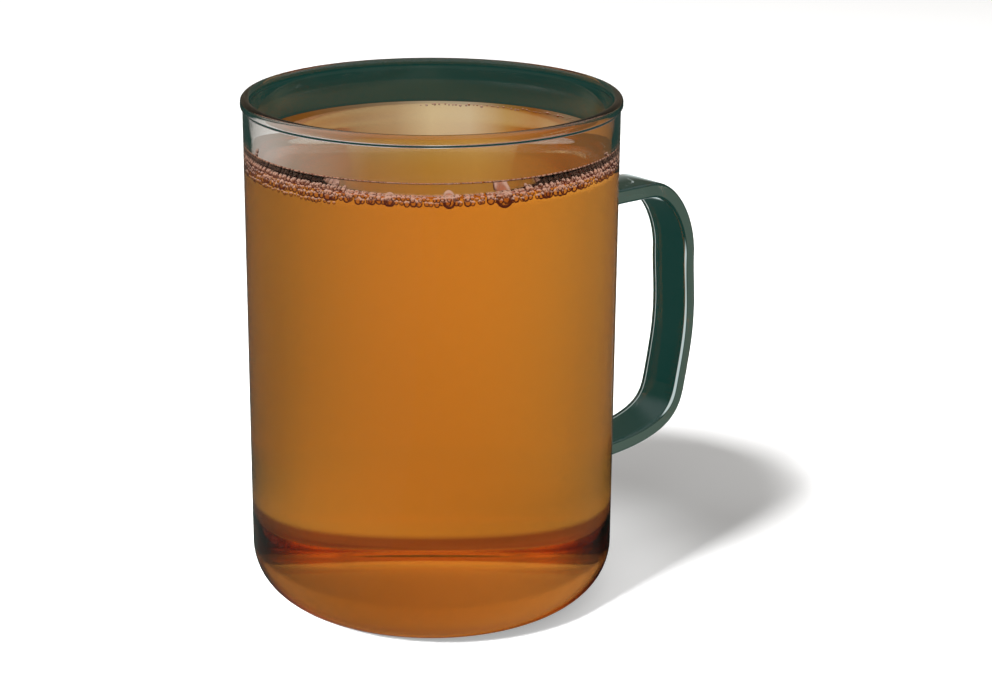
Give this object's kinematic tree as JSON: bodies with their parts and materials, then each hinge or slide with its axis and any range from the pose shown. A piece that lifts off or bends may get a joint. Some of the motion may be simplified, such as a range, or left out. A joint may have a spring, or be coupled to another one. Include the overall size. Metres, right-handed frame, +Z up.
{
  "type": "glass cup of tea",
  "caption": "Straight clear glass mug with a D-shaped strap handle, filled nearly to the rim with amber tea that carries a ring of small bubbles.",
  "frame": {"origin": "centre of the flat base, on the mug's axis", "axes": "+Z up along the mug's axis, +X towards the handle, so that the XZ plane is the handle's middle plane"},
  "size_m": [0.1196, 0.084, 0.1157],
  "materials": {
    "clear_glass": "clear, fire-polished",
    "tea_liquid": "clear amber liquid, wet and glossy"
  },
  "bodies": {
    "root": {"glass_mug": "clear_glass", "tea": "tea_liquid"}
  },
  "joints": []
}
